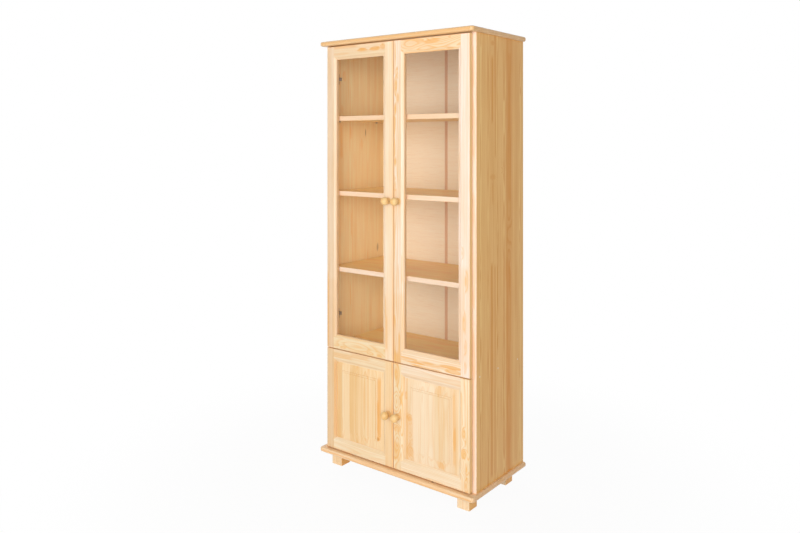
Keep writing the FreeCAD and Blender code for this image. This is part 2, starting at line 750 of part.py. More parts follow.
def write_parts():
    DOC.recompute()
    for item in DOC.Objects:
        if "Invalid" in item.State or "Error" in item.State:
            raise RuntimeError(f"{item.Label} failed: {item.State}")
    for item in PARTS:
        if item.Shape.isNull() or not item.Shape.isValid() or not item.Shape.Solids:
            raise RuntimeError(f"{item.Label} has no sound shape")
    os.makedirs("parts", exist_ok=True)
    for item in PARTS:
        item.Shape.exportStep(f"parts/{item.Label}.step")


write_parts()
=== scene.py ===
import json
import math

import bmesh
import bpy
from mathutils import Matrix, Vector

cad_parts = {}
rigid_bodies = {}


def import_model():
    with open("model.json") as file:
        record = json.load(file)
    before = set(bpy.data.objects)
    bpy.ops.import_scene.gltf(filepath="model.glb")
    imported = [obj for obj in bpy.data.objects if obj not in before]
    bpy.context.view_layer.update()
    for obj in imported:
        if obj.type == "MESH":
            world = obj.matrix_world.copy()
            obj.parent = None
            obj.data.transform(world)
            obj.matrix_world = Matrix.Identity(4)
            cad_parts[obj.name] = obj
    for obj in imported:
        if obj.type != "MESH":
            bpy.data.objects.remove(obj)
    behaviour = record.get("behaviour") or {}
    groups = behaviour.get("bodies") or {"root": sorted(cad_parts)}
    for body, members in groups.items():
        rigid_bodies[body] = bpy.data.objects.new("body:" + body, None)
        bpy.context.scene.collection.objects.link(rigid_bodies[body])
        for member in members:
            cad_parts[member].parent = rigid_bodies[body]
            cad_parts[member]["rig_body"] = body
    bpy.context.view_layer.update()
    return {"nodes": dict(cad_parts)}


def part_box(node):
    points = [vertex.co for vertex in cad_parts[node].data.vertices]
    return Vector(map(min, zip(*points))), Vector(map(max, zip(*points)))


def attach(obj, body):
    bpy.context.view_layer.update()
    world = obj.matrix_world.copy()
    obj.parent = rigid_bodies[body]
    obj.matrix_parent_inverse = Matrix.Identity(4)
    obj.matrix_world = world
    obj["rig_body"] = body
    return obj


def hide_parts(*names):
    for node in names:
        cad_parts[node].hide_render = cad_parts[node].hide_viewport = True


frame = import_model()


# ------------------------------------ base board
# A board of glued pine staves with a half-round nose on its front and side edges and rounded
# front corners, clear-lacquered like all the visible pine. The sides are dowelled into its upper
# face, and it is screwed down to the feet.

MM_IN_METRE = 1000


class Wire:
    """A value in a tree of nodes. A sum written with wires adds the nodes that work it out."""

    def __init__(self, graph, socket):
        self.graph = graph
        self.socket = socket

    def math(self, operation, *others):
        return self.graph.math(operation, self, *others)

    def __add__(self, other):
        return self.math("ADD", other)

    __radd__ = __add__

    def __mul__(self, other):
        return self.math("MULTIPLY", other)

    __rmul__ = __mul__

    def __sub__(self, other):
        return self.math("SUBTRACT", other)

    def __rsub__(self, other):
        return self.graph.math("SUBTRACT", other, self)

    def __truediv__(self, other):
        return self.math("DIVIDE", other)

    def smooth(self, low, high):
        """0 below low, 1 above high, and an S-curve between them."""
        return self.graph.node("ShaderNodeMapRange", {"interpolation_type": "SMOOTHSTEP"},
                               {"Value": self, "From Min": low, "From Max": high})

    def beside(self, name):
        """Another output of the same node."""
        return Wire(self.graph, self.socket.node.outputs[name])


class Graph:
    """A tree of nodes, which starts empty."""

    def __init__(self, tree):
        self.tree = tree
        tree.nodes.clear()

    def node(self, kind, settings=None, inputs=None, output=0):
        """Adds a node: its settings first, then the values or wires of its sockets."""
        made = self.tree.nodes.new(kind)
        for name, value in (settings or {}).items():
            setattr(made, name, value)
        for name, value in (inputs or {}).items():
            for item in value if isinstance(value, list) else [value]:
                if isinstance(item, Wire):
                    self.tree.links.new(item.socket, made.inputs[name])
                else:
                    made.inputs[name].default_value = item
        return Wire(self, made.outputs[output]) if made.outputs else None

    def math(self, operation, *values):
        return self.node("ShaderNodeMath", {"operation": operation}, dict(enumerate(values)))

    def vector(self, x, y, z):
        return self.node("ShaderNodeCombineXYZ", inputs={"X": x, "Y": y, "Z": z})


class Finish(Graph):
    """A material."""

    def __init__(self, name):
        self.material = bpy.data.materials.new(name)
        self.material.use_nodes = True
        super().__init__(self.material.node_tree)

    def point(self):
        """The three object coordinates in millimetres."""
        place = self.node("ShaderNodeTexCoord", output="Object")
        parts = self.node("ShaderNodeSeparateXYZ", inputs={"Vector": place})
        return {axis: parts.beside(axis) * MM_IN_METRE for axis in "XYZ"}

    def scaled(self, x, y, z):
        """The place, with each axis multiplied."""
        point = self.point()
        return self.vector(point["X"] * x, point["Y"] * y, point["Z"] * z)

    def noise(self, place, detail=2.0, roughness=0.5):
        """Smooth chance from 0 to 1, over a place that is a vector or a single number."""
        kind = {"Vector": place} if place.socket.type == "VECTOR" else {"W": place}
        dimensions = "3D" if "Vector" in kind else "1D"
        return self.node("ShaderNodeTexNoise", {"noise_dimensions": dimensions},
                         {**kind, "Scale": 1.0, "Detail": detail, "Roughness": roughness})

    def chances(self, number):
        """Three even chances from 0 to 1 that jump wherever the number changes."""
        made = self.node("ShaderNodeTexWhiteNoise", {"noise_dimensions": "1D"},
                         {"W": number}, output="Color")
        parts = self.node("ShaderNodeSeparateColor", inputs={"Color": made})
        return [parts.beside(name) for name in ("Red", "Green", "Blue")]

    def mix(self, first, second, share):
        """The first colour, turned into the second by a share from 0 to 1."""
        return self.node("ShaderNodeMix", {"data_type": "RGBA"}, {0: share, 6: first, 7: second},
                         output=2)

    def surface(self, bump=None, bump_depth=0.0, **sockets):
        """The shader, with a bump height in bump_depth metres."""
        names = {name.replace("_", " "): value for name, value in sockets.items()}
        if bump is not None:
            names["Normal"] = self.node("ShaderNodeBump", inputs={
                "Strength": 1.0, "Distance": bump_depth, "Height": bump})
        return self.out(self.node("ShaderNodeBsdfPrincipled", inputs=names))

    def out(self, shader):
        self.node("ShaderNodeOutputMaterial", inputs={"Surface": shader})
        return self.material


def colour(red, green, blue):
    """A display colour of 0 to 255 as the light that it stands for."""
    def light(level):
        level = min(level, 255) / 255
        return level / 12.92 if level <= 0.04045 else ((level + 0.055) / 1.055) ** 2.4
    return (light(red), light(green), light(blue), 1.0)


EARLY_TINT = (1.02, 1.04, 1.09)
TAN_TINT = (0.97, 0.92, 0.83)
RIPE_TINT = (0.98, 0.82, 0.56)
KNOT_WOOD = colour(120, 70, 38)


def pine_shades(body, ripe=RIPE_TINT):
    """Wood of that colour overall: its spring wood, its darker spring wood and its summer wood."""
    return [colour(*(level * share for level, share in zip(body, tint)))
            for tint in (EARLY_TINT, TAN_TINT, ripe)]


PITH_BEHIND = (12, 40)
PITH_SWAY = 6.0
WAVER_IN_RINGS = 1.2
GLUE_LINE = 1.2
MIDDLE_OF_BOARD = (6, 14)
STREAK_FADE = 15


def pine(name, grain, across, width, start, face, seed, body, ring=4.5, aside=(0.0, 0.6),
         heave=6.0, strength=0.5, tone=0.5, shades=None, rim=None, ripe=RIPE_TINT, outside=None,
         flames=(), streaks=(), knots=()):
    """Lacquered pine, as staves of the given width, each cut from its own trunk.

    grain and across name the axes along the grain and across the staves, body is the colour
    overall, and lengths are in millimetres. start is where a stave begins, face where the seen
    face lies, ring a year's growth, heave how far the pith strays in depth, and aside how far
    beside the stave it lies, in staves. strength is how much the rings show, tone how much the
    staves differ, and shades makes numbered staves darker or paler. rim is the colour of edges
    and mouldings, which are cut at a slant to the rings; it also carries painted light and
    shade, set piece by piece: paler on some edges that face the lamps, darker and warmer on
    others and in steps, creases and gaps. ripe is the summer wood's share of the body's red,
    green and blue. outside is the colour of the half away from the face; the seen face keeps
    the paler body colour as painted light, for a face that lies in shade.
    A flame is an oval of nested lines: its place along and across, half its length and breadth,
    its number of rings and how dark it is. A streak is a line along the grain: its place across,
    half its breadth, its low and high end, and how dark it is. A knot is its place along and
    across, half its length and breadth, and how dark it is.
    What multiplies a place inside a noise is how often that noise changes in a millimetre.
    """
    finish = Finish(name)
    early, tan, late = pine_shades(body, ripe)
    point = finish.point()
    along = point[grain]
    side = point[across]
    thickness = ({"X", "Y", "Z"} - {grain, across}).pop()
    deep = point[thickness]
    # painted light: the seen face keeps the paler body and the half away from it takes the outside
    # colour, so a face in shade is painted lighter than the rest of the board
    if outside:
        beyond = (deep - face).math("ABSOLUTE").smooth(*MIDDLE_OF_BOARD)
        early, tan, late = (finish.mix(inner, outer, beyond) for inner, outer in
                            zip((early, tan, late), pine_shades(outside, ripe)))

    # each stave has chances of its own: how far aside its pith lies, on which side, and its age
    lane = (side - start) / width
    index = lane.math("FLOOR")
    far_chance, side_chance, age_chance = finish.chances(index + seed * 3.71)
    from_middle = (lane - index - 0.5) * width
    sway = finish.noise(along * 0.0022 + index * 17.3 + seed * 5.1, detail=1.0)
    lift = finish.noise(along * 0.0036 + index * 9.1 + seed * 11.9, detail=1.5)

    # distance from the pith gives the year, and a slow waver keeps the lines from ruled straight
    beside = (far_chance * (aside[1] - aside[0]) + aside[0]) * (side_chance - 0.5).math("SIGN")
    sideways = from_middle - beside * width - (sway - 0.5) * PITH_SWAY
    least, most = PITH_BEHIND
    behind = (deep - face) + least + age_chance * (most - least) + (lift - 0.5) * heave
    radius = (sideways * sideways + behind * behind).math("SQRT")
    waver = finish.noise(finish.vector(along * 0.006 + seed, side * 0.035, deep * 0.035))
    year = radius / ring + waver * WAVER_IN_RINGS + age_chance * 5
    fine = {"detail": 3.0, "roughness": 0.6}
    fibre = finish.noise(finish.vector(along * 0.02, side * 1.3, deep * 1.3 + seed), **fine)
    streak = finish.noise(finish.vector(along * 0.0025, side * 0.1, deep * 0.1 + seed * 1.3), **fine)
    cloud = finish.noise(finish.vector(along * 0.0035, side * 0.03, deep * 0.02 + seed * 7.7))
    if flames:
        ripple = finish.noise(finish.vector(along * 0.01 + seed, side * 0.09, deep * 0.05), **fine)
        frayed = (ripple - 0.5) * 1.1 + (streak - 0.5) * 0.8

    def reach(place_along, place_across, length, breadth):
        """0 at a place in the wood and 1 at the edge of a wavering oval round it."""
        far = (along - place_along) / length
        wide = (side - place_across) / breadth
        return (far * far + wide * wide).math("SQRT") + (waver - 0.5) * 0.7

    blaze = 0
    for place_along, place_across, length, breadth, rings, dark in flames:
        oval = reach(place_along, place_across, length, breadth)
        if rings:
            year = year + (1 - oval.smooth(0.0, 1.5)) * rings
        if dark:
            blaze = (1 - (oval + frayed).smooth(0.7, 1.1)) * dark + blaze
    for place, breadth, low, high, dark in streaks:
        off = (side - place + (waver - 0.5) * breadth).math("ABSOLUTE")
        line = 1 - off.smooth(breadth * 0.5, breadth * 1.1)
        begun = along.smooth(low - STREAK_FADE, low + STREAK_FADE)
        ended = along.smooth(high - STREAK_FADE, high + STREAK_FADE)
        blaze = line * begun * (1 - ended) * dark + blaze
    stain = 0
    for place_along, place_across, length, breadth, dark in knots:
        oval = reach(place_along, place_across, length, breadth)
        year = year + (1 - oval.smooth(0.8, 4.5)) * 2.0
        stain = (1 - oval.smooth(0.5, 1.3)) * dark + stain

    # through each year the wood ripens slowly, and the next spring starts at once
    ripeness = year.math("FRACT")
    summer = ripeness.smooth(0.30, 0.86) * (1 - ripeness.smooth(0.90, 1.0))
    depth = 0.35 + (age_chance - 0.5) * tone + (cloud - 0.5) * 1.0 + (streak - 0.5) * 1.6
    for number, shade in (shades or {}).items():
        depth = depth + finish.math("COMPARE", index, float(number), 0.5) * shade
    wood = finish.mix(early, tan, depth + (fibre - 0.5) * 0.4)
    wood = finish.mix(wood, late, summer * (0.35 + cloud) * strength)
    if flames or streaks:
        wood = finish.mix(wood, late, blaze * (0.75 + summer * 0.25))
    if knots:
        wood = finish.mix(wood, KNOT_WOOD, stain)

    # a hairline shows where two staves are glued, and cut ends drink more lacquer
    edge = (from_middle.math("ABSOLUTE") * 2 / width).smooth(1 - GLUE_LINE / width, 1.0)
    facing = finish.node("ShaderNodeTexCoord", output="Normal")
    facing = finish.node("ShaderNodeSeparateXYZ", inputs={"Vector": facing}, output=grain)
    end = facing.math("ABSOLUTE").smooth(0.6, 0.95)
    # painted light and shade: edges and mouldings take the rim colour, partly their cut grain,
    # partly light on some lit edges and shade in steps, creases and gaps
    if rim:
        off_face = 1 - facing.beside(thickness).math("ABSOLUTE").smooth(0.35, 0.9)
        rim_early, _, rim_late = pine_shades(rim)
        rim_wood_and_shade = finish.mix(rim_early, rim_late, summer * 0.3 + depth * 0.4)
        wood = finish.mix(wood, rim_wood_and_shade, off_face)
    wood = finish.mix(wood, late, edge * 0.35 + end * 0.3)
    return finish.surface(bump=fibre * 0.6 + summer * 0.5, bump_depth=0.0001, Base_Color=wood,
                          Roughness=0.44 + (fibre - 0.5) * 0.12 - summer * 0.05,
                          Coat_Weight=0.2, Coat_Roughness=0.22)


BROAD_FACE = 0.006
SAME_PLANE = 0.999
SAME_ROLL = 0.5


def keep_faces_flat(mesh):
    """Lets the shine roll over eased edges only, and keeps broad faces flat beside each other."""
    mesh.shade_smooth()
    around = [[] for vertex in mesh.vertices]
    broad = []
    for face in mesh.polygons:
        longest = max((mesh.vertices[one].co - mesh.vertices[two].co).length
                      for one, two in face.edge_keys)
        broad.append(face.area > longest * BROAD_FACE)
        for corner in face.vertices:
            around[corner].append(face)
    normals = []
    for face in mesh.polygons:
        for corner in face.vertices:
            total = Vector()
            for other in around[corner]:
                alike = face.normal.dot(other.normal)
                both_broad = broad[face.index] and broad[other.index]
                if alike > (SAME_PLANE if both_broad else SAME_ROLL):
                    total += other.normal * other.area
            normals.append(total.normalized())
    mesh.normals_split_custom_set(normals)


SAME_PLACE = 1e-6
ON_A_FACE = 1e-5
FLAT_ANGLE = math.radians(1)
SHARP_ANGLE = math.radians(35)


def bevelled(shape, edges, offset, segments):
    """Rounds edges of a shape."""
    bmesh.ops.bevel(shape, geom=edges, offset=offset, segments=segments, profile=0.5,
                    affect="EDGES", clamp_overlap=True)


def machined(node, name, material, slot, edge=0.0008, segments=2, rounding=None):
    """A machined piece: the CAD node's shape with its sharp edges eased by edge metres.

    rounding is a frame's lowest and highest corner, and the radius of its front edges there.
    """
    mesh = frame["nodes"][node].data.copy()
    mesh.name = name
    shape = bmesh.new()
    shape.from_mesh(mesh)
    bmesh.ops.remove_doubles(shape, verts=shape.verts, dist=SAME_PLACE)
    bmesh.ops.dissolve_limit(shape, angle_limit=FLAT_ANGLE, verts=shape.verts, edges=shape.edges)
    if rounding:
        lowest, highest, radius = rounding
        outer = [e for e in shape.edges
                 if all(v.co.y < lowest.y + ON_A_FACE for v in e.verts)
                 and any(all(abs(v.co[axis] - corner[axis]) < ON_A_FACE for v in e.verts)
                         for axis in (0, 2) for corner in (lowest, highest))]
        bevelled(shape, outer, radius, segments=4)
    sharp = [e for e in shape.edges
             if len(e.link_faces) == 2 and e.calc_face_angle() > SHARP_ANGLE]
    bevelled(shape, sharp, edge, segments)
    shape.to_mesh(mesh)
    shape.free()
    mesh.materials.clear()
    mesh.materials.append(material)
    keep_faces_flat(mesh)
    placed(mesh, frame["nodes"][node]["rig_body"], slot, node)


def placed(mesh, body, slot, *nodes):
    """Puts a mesh into the scene as a piece that rides on a body and stands for CAD nodes."""
    piece = bpy.data.objects.new(mesh.name, mesh)
    bpy.context.scene.collection.objects.link(piece)
    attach(piece, body)
    if nodes:
        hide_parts(*nodes)


base_board_finish = pine(
    "base_board_finish", "X", "Y", width=46, start=-196, face=75, seed=11, body=(243, 209, 164),
    strength=0.6, knots=((196, -172, 5, 4, 0.8), (388, -100, 5, 4, 0.8)))
machined("base_board", "base_board_pine", base_board_finish, "carcass_pine", edge=0.001)


# ------------------------------------ feet
# Four square blocks of solid pine with eased edges. Two screws hold each, driven down through
# the base board into its end grain.

HANDS = ("left", "right")
FOOT_STAVE_STARTS = {"left": -362, "right": 300}
feet = [(end, hand) for end in ("front", "back") for hand in HANDS]
for number, (end, hand) in enumerate(feet):
    node = f"foot_{end}_{hand}"
    finish = pine(node + "_finish", "Z", "X", width=62, start=FOOT_STAVE_STARTS[hand], face=-156,
                  seed=21 + number, body=(240, 215, 176), rim=(244, 187, 98), strength=0.6)
    machined(node, node + "_block", finish, "carcass_pine", edge=0.0012)


# ------------------------------------ sides
# Panels of upright pine staves, rebated behind for the back and dowelled between base board and
# top board. A stave near the back of the right side is dark heartwood. The left side shows two
# knots on its inner face, which is painted paler than its outer face: painted light inside the
# case. The front edges of both sides are painted pale: a painted highlight where they face the
# lamps.

# painted highlight: the pale rim colour lights the front edge, which faces the lamps
right_side_finish = pine(
    "right_side_finish", "Z", "Y", width=60, start=-168, face=388, seed=4, body=(244, 194, 113),
    rim=(244, 214, 186), ripe=(0.92, 0.75, 0.28), strength=0.8, tone=0.4, shades={4: 0.3},
    flames=((1814, -32, 12, 14, 1, 0.7), (1284, -27, 14, 25, 2, 0.5),
            (1309, 44, 14, 12, 2, 0.2), (867, 105, 60, 10, 1, 0.6),
            (1040, 102, 60, 20, 2, 0.0), (430, 98, 60, 8, 0, 0.4)),
    streaks=((97, 27, -50, 1900, 0.75), (101, 14, 1180, 1786, 0.3), (-35, 8, 1500, 1760, 1.0),
             (-12, 6, 1640, 1850, 1.0), (-10, 6, 1365, 1640, 0.7), (-37, 9, 100, 940, 1.0),
             (-13, 6, 100, 932, 0.8), (6, 5, 600, 932, 0.7), (84, 10, 100, 950, 0.3),
             (-30, 7, 1180, 1262, 0.6), (30, 5, 800, 1250, 0.3), (150, 5, 100, 1840, 0.4),
             (163, 5, 100, 1840, 0.35)))
machined("right_side", "right_side_panel", right_side_finish, "carcass_pine")

# painted light: the inner face is paler than the outer face, and the pale rim lights the front edge
left_side_finish = pine(
    "left_side_finish", "Z", "Y", width=62, start=-134, face=-368, seed=9, body=(255, 224, 168),
    rim=(250, 224, 186), strength=0.35, tone=0.2, outside=(244, 196, 118),
    flames=((1722, -68, 26, 12, 1, 0.5), (1570, -80, 26, 10, 1, 0.4), (1465, -22, 36, 6, 0, 0.5),
            (1410, 52, 30, 10, 1, 0.4), (1050, -18, 60, 6, 1, 0.4), (1335, 5, 40, 12, 2, 0.1)),
    streaks=((-85, 9, 1350, 1500, 0.6), (-94, 6, 850, 1785, 0.3), (-10, 2, 870, 1120, 0.5)),
    knots=((920, 170, 22, 8, 0.45), (1466, 82, 19, 3, 0.7)))
machined("left_side", "left_side_panel", left_side_finish, "carcass_pine")


# ------------------------------------ fixed shelf and loose shelves
# Boards of pine staves. The fixed one closes the gap between the upper and the lower doors and is
# screwed through the sides. The three loose ones lie on pins.

# painted light: the shelves' front edges take a paler rim colour, set shelf by shelf to how each is
# lit
SHELF_RIMS = {"fixed_shelf": (243, 212, 180), "bottom_shelf": (240, 217, 192),
              "middle_shelf": (243, 213, 180), "top_shelf": (240, 209, 173)}
for number, (node, rim) in enumerate(SHELF_RIMS.items()):
    finish = pine(node + "_finish", "X", "Y", width=52, start=-160, face=0, seed=31 + number,
                  body=(255, 216, 142), rim=rim, strength=0.4, tone=0.3)
    machined(node, node + "_board", finish, "carcass_pine", edge=0.001)


# ------------------------------------ back
# Two thin boards with a fine level grain, nailed into the rebates of the sides. An H-shaped
# strip of brown plastic joins them up the middle.

def back_board(name, seed):
    finish = Finish(name)
    point = finish.point()
    band = finish.noise(finish.vector(point["X"] * 0.004, point["Y"] * 0.1 + seed,
                                      point["Z"] * 0.09), detail=3.0)
    line = finish.noise(finish.vector(point["X"] * 0.016, point["Y"] * 0.1,
                                      point["Z"] * 0.55 + seed), detail=3.0, roughness=0.7)
    wood = finish.mix(colour(255, 243, 220), colour(250, 228, 198), band * 0.8)
    wood = finish.mix(wood, colour(232, 192, 152), line.smooth(0.5, 0.78) * 0.5)
    return finish.surface(bump=line, bump_depth=0.00005, Base_Color=wood,
                          Roughness=0.5 + (line - 0.5) * 0.1)


BACK_SEEDS = {"left": 3, "right": 8}
for hand, seed in BACK_SEEDS.items():
    machined(f"back_panel_{hand}", f"back_board_{hand}", back_board(f"back_finish_{hand}", seed),
             "back_board", edge=0.0002, segments=1)


def strip_finish():
    finish = Finish("joining_strip_finish")
    mottle = finish.noise(finish.scaled(0.3, 0.3, 0.02))
    plastic = finish.mix(colour(234, 194, 160), colour(220, 174, 140), mottle)
    return finish.surface(Base_Color=plastic, Roughness=0.5 + (mottle - 0.5) * 0.1)


machined("back_joining_strip", "joining_strip_moulding", strip_finish(), "joining_strip",
         edge=0.0003)


# ------------------------------------ top board
# A board of glued pine staves with the same nose and corners as the base board, dowelled to the
# upper ends of the sides.

top_board_finish = pine("top_board_finish", "X", "Y", width=46, start=-196, face=1865, seed=15,
                        body=(234, 199, 150), strength=0.4)
machined("top_board", "top_board_pine", top_board_finish, "carcass_pine", edge=0.001)


# ------------------------------------ door frames
# Two stiles and two rails of solid pine to a door. Stiles run the full height and are mostly
# straight-grained. Rails show the flames of wood cut near the bark, and their ends are scribed
# over the moulding on the stiles.

DOORS = [f"{level}_{hand}" for level in ("upper", "lower") for hand in HANDS]
OUTER_RADIUS = 0.004
DOOR_FACE = -176
STAVE_PLAY = 2
# painted shade: the frames' edges and mouldings take this warmer rim colour, partly their cut grain,
# partly the warm shade in their creases and gaps
FRAME_RIM_SHADE = (244, 209, 162)
FRAME_WOOD = {
    "upper_left_hinge_stile": dict(body=(230, 203, 168), strength=0.35, streaks=(
        # painted light: the broad streak at -345 darkens and warms the lower part of the stile,
        # standing in for warm light bounced up from below
        (-366, 6, 520, 850, 0.6), (-345, 40, 480, 820, 0.25))),
    "upper_left_meeting_stile": dict(body=(242, 216, 181), strength=0.3, streaks=(
        # partly painted shade: the streak at -4 darkens the rounded meeting edge, which turns away
        # from the light, and shows its cut grain
        (-41, 6, 700, 780, 0.6), (-36, 7, 560, 700, 0.6), (-4, 4, 500, 1850, 0.5))),
    "upper_left_top_rail": dict(body=(232, 206, 168), strength=0.35, flames=(
        (-168, 1815, 32, 9, 1, 1.0), (-98, 1817, 32, 10, 1, 1.0), (-55, 1822, 16, 13, 2, 0.7)),
        streaks=((1834, 6, -330, -200, 0.5),)),
    "upper_left_bottom_rail": dict(body=(238, 213, 170), strength=0.5, ring=6, flames=(
        (-200, 548, 120, 20, 3, 0.0), (-280, 530, 20, 6, 1, 0.4), (-120, 530, 20, 6, 1, 0.4),
        (-72, 532, 20, 11, 1, 0.5))),
    "upper_right_hinge_stile": dict(
        # painted shade: a darker rim dims this stile's edges, which face the right lamp
        body=(246, 224, 204), strength=0.5, ring=6, rim=(232, 196, 134), flames=(
        (995, 342, 28, 9, 2, 0.4), (887, 359, 40, 9, 2, 0.5), (722, 350, 50, 8, 2, 0.5),
        (637, 354, 40, 9, 2, 0.5), (555, 352, 30, 9, 1, 0.5)),
        # painted light: this broad streak darkens and warms the lower part of the stile, standing in
        # for warm light bounced up from below
        streaks=((350, 40, 560, 940, 0.25),)),
    "upper_right_meeting_stile": dict(
        body=(237, 216, 188), strength=0.7, ring=7, heave=14, aside=(0.1, 0.4), flames=(
        (1658, 14, 44, 10, 2, 0.8), (1602, 23, 30, 6, 1, 0.5), (1557, 11, 28, 7, 1, 0.8),
        (1715, 17, 20, 8, 1, 0.5), (1343, 11, 20, 6, 1, 0.5), (1245, 11, 20, 6, 1, 0.5)),
        streaks=((14, 3, 1760, 1830, 0.6), (7, 5, 560, 1540, 0.5), (33, 6, 560, 640, 0.7),
                 (22, 22, 480, 560, 0.8), (26, 3, 820, 920, 0.7), (45, 3, 850, 960, 0.7),
                 # painted light: this broad streak darkens and warms the lower part of the stile,
                 # standing in for warm light bounced up from below
                 (25, 40, 480, 800, 0.3))),
    "upper_right_top_rail": dict(body=(236, 206, 163), strength=0.7, ring=6, flames=(
        (196, 1825, 44, 11, 1, 0.8), (280, 1789, 20, 5, 0, 0.5), (280, 1833, 6, 5, 0, 0.5),
        (240, 1850, 100, 50, 4, 0.0), (90, 1815, 60, 22, 3, 0.1))),
    "upper_right_bottom_rail": dict(body=(239, 213, 177), strength=0.6, ring=6, flames=(
        (70, 545, 40, 5, 0, 0.8), (110, 534, 50, 5, 1, 0.9), (175, 540, 70, 10, 2, 0.5),
        (290, 546, 60, 7, 1, 1.0), (300, 531, 40, 9, 1, 0.8)),
        streaks=((522, 4, 100, 240, 0.8),)),
    "lower_left_hinge_stile": dict(body=(229, 198, 154), strength=0.35, streaks=(
        # painted shade: this streak darkens the moulding along the panel's edge
        (-325, 7, 130, 460, 0.7),)),
    "lower_left_meeting_stile": dict(body=(239, 209, 163), strength=0.4, streaks=(
        # partly painted shade: this streak darkens the rounded meeting edge, which turns away from
        # the light, and shows its cut grain
        (-4, 4, 60, 530, 0.5),)),
    "lower_left_top_rail": dict(body=(235, 209, 168), strength=0.4, streaks=(
        (494, 15, -340, -230, 0.5), (503, 12, -230, -130, 0.5))),
    "lower_left_bottom_rail": dict(body=(240, 219, 182), strength=0.35),
    "lower_right_hinge_stile": dict(
        body=(243, 221, 185), strength=0.6, ring=7, heave=16, aside=(0.1, 0.4),
        # painted shade: a darker rim dims this stile's edges, which face the right lamp
        rim=(232, 196, 134), flames=(
        (302, 345, 26, 10, 2, 0.8), (278, 356, 20, 5, 0, 0.5), (226, 347, 24, 13, 3, 0.9),
        (185, 350, 40, 22, 3, 0.1), (157, 358, 22, 8, 1, 0.6), (105, 354, 30, 9, 2, 0.6)),
        streaks=((348, 3, 420, 500, 0.4),)),
    "lower_right_meeting_stile": dict(
        body=(239, 216, 176), strength=0.7, ring=8, heave=26, aside=(0.0, 0.3), flames=(
        (470, 20, 60, 16, 2, 0.7), (382, 42, 36, 8, 1, 0.6), (360, 20, 50, 16, 3, 0.05),
        (248, 20, 18, 17, 2, 0.7), (205, 25, 40, 20, 3, 0.0), (154, 19, 46, 18, 2, 0.75))),
    "lower_right_top_rail": dict(body=(238, 214, 182), strength=0.4, flames=(
        (165, 461, 22, 4, 0, 0.9),)),
    "lower_right_bottom_rail": dict(body=(241, 220, 186), strength=0.4),
}
FRAME_MEMBERS = {
    "hinge_stile": dict(grain="Z", across="X", aside=(0.5, 1.1)),
    "meeting_stile": dict(grain="Z", across="X", aside=(0.4, 1.0)),
    "top_rail": dict(grain="X", across="Z", aside=(0.0, 0.5)),
    "bottom_rail": dict(grain="X", across="Z", aside=(0.0, 0.5)),
}


def span(node, axis):
    """Where a CAD node begins and ends along an axis, in millimetres."""
    return [corner["XYZ".index(axis)] * MM_IN_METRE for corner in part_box(node)]


seed = 40
for door in DOORS:
    stiles = [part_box(f"{door}_{stile}") for stile in ("hinge_stile", "meeting_stile")]
    lowest = Vector(map(min, *(low for low, high in stiles)))
    highest = Vector(map(max, *(high for low, high in stiles)))
    for member, cut in FRAME_MEMBERS.items():
        seed += 1
        node = f"{door}_{member}"
        low, high = span(node, cut["across"])
        wood = {"tone": 0.0, "rim": FRAME_RIM_SHADE, **cut, **FRAME_WOOD[node]}
        finish = pine(node + "_finish", width=high - low + 2 * STAVE_PLAY, start=low - STAVE_PLAY,
                      face=DOOR_FACE, seed=seed, **wood)
        machined(node, node + "_pine", finish, "door_pine",
                 rounding=(lowest, highest, OUTER_RADIUS))


# ------------------------------------ glass and its beads
# Clear float glass with matt, ground edges lies in the frame's rebate; the edges are painted
# brown, the shade in the narrow rebate round them. Four mitred pine beads, rounded towards the
# opening, hold it from behind.

WHITE = (1.0, 1.0, 1.0, 1.0)
GLASS_TINT = (0.997, 1.0, 0.998, 1.0)
# painted shade: the ground edges are given the brown of the shaded rebate round them
GLASS_EDGE_SHADE = colour(176, 124, 80)


def clear_glass():
    """Glass that mirrors a little from the front and more at a slant; ground edges in painted shade.
    """
    finish = Finish("clear_glass_finish")
    through = finish.node("ShaderNodeBsdfTransparent", inputs={"Color": GLASS_TINT})
    mirror = finish.node("ShaderNodeBsdfGlossy", inputs={"Color": WHITE, "Roughness": 0.02})
    slant = finish.node("ShaderNodeLayerWeight", inputs={"Blend": 0.5}, output="Facing")
    share = 0.010 + slant.math("POWER", 5.0) * 0.9
    pane = finish.node("ShaderNodeMixShader", inputs={0: share, 1: through, 2: mirror})
    shaded_edge = finish.node("ShaderNodeBsdfDiffuse", inputs={"Color": GLASS_EDGE_SHADE})
    facing = finish.node("ShaderNodeTexCoord", output="Normal")
    facing = finish.node("ShaderNodeSeparateXYZ", inputs={"Vector": facing}, output="Y")
    edge = 1 - facing.math("ABSOLUTE").smooth(0.2, 0.5)
    return finish.out(finish.node("ShaderNodeMixShader", inputs={0: edge, 1: pane, 2: shaded_edge}))


CRISP_ANGLE = math.radians(40)
BEAD_WIDTH = 0.010
BEAD_RADIUS = 0.0025
BEAD_STEPS = 4
MITRE_GAP = 0.00005


def dressed(node, material):
    """Gives its material to a CAD node that is shown as it is."""
    materials = frame["nodes"][node].data.materials
    materials.clear()
    materials.append(material)


def finished(shape, name, *materials):
    """Turns a shape with closed walls into a mesh, with smooth curves and crisp corners."""
    bmesh.ops.recalc_face_normals(shape, faces=shape.faces)
    mesh = bpy.data.meshes.new(name)
    shape.to_mesh(mesh)
    shape.free()
    for material in materials:
        mesh.materials.append(material)
    mesh.shade_smooth()
    mesh.set_sharp_from_angle(angle=CRISP_ANGLE)
    return mesh


